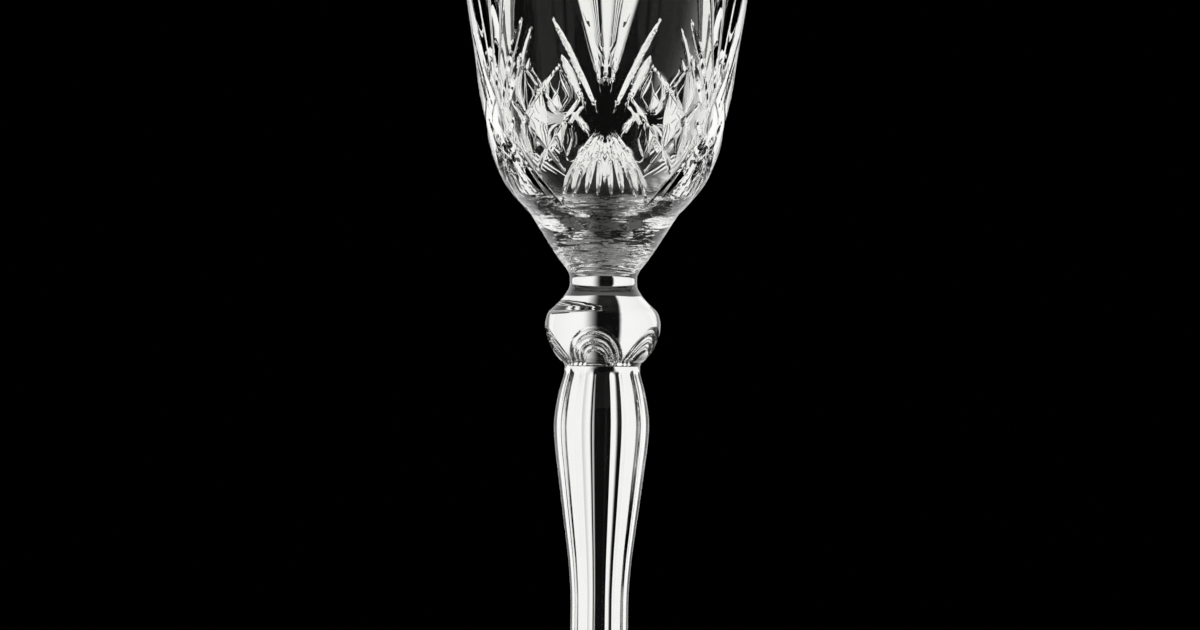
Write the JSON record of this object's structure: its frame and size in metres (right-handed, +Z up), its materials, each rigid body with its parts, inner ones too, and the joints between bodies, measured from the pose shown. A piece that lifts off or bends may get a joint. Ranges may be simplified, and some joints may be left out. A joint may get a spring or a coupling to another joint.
{
  "type": "champagne flute",
  "caption": "Tall cut-crystal champagne flute with a fan and diamond cut bowl, a baluster knop with arched cuts, a fluted stem and a domed round foot.",
  "frame": {"origin": "centre of the foot's resting ring, on the table plane", "axes": "+Z up along the glass's axis from the foot to the rim; -Y is the front, where one fan of the bowl's pattern is centred"},
  "size_m": [0.0636, 0.0636, 0.225],
  "materials": {
    "bowl_crystal": "clear colourless crystal, fire-polished inside and at the rim, bright polished mitre cuts outside",
    "stem_crystal": "clear colourless solid crystal, polished flutes with faint mould and chill marks"
  },
  "bodies": {
    "root": {"bowl": "bowl_crystal", "knop": "stem_crystal", "stem": "stem_crystal", "foot": "stem_crystal"}
  },
  "joints": []
}
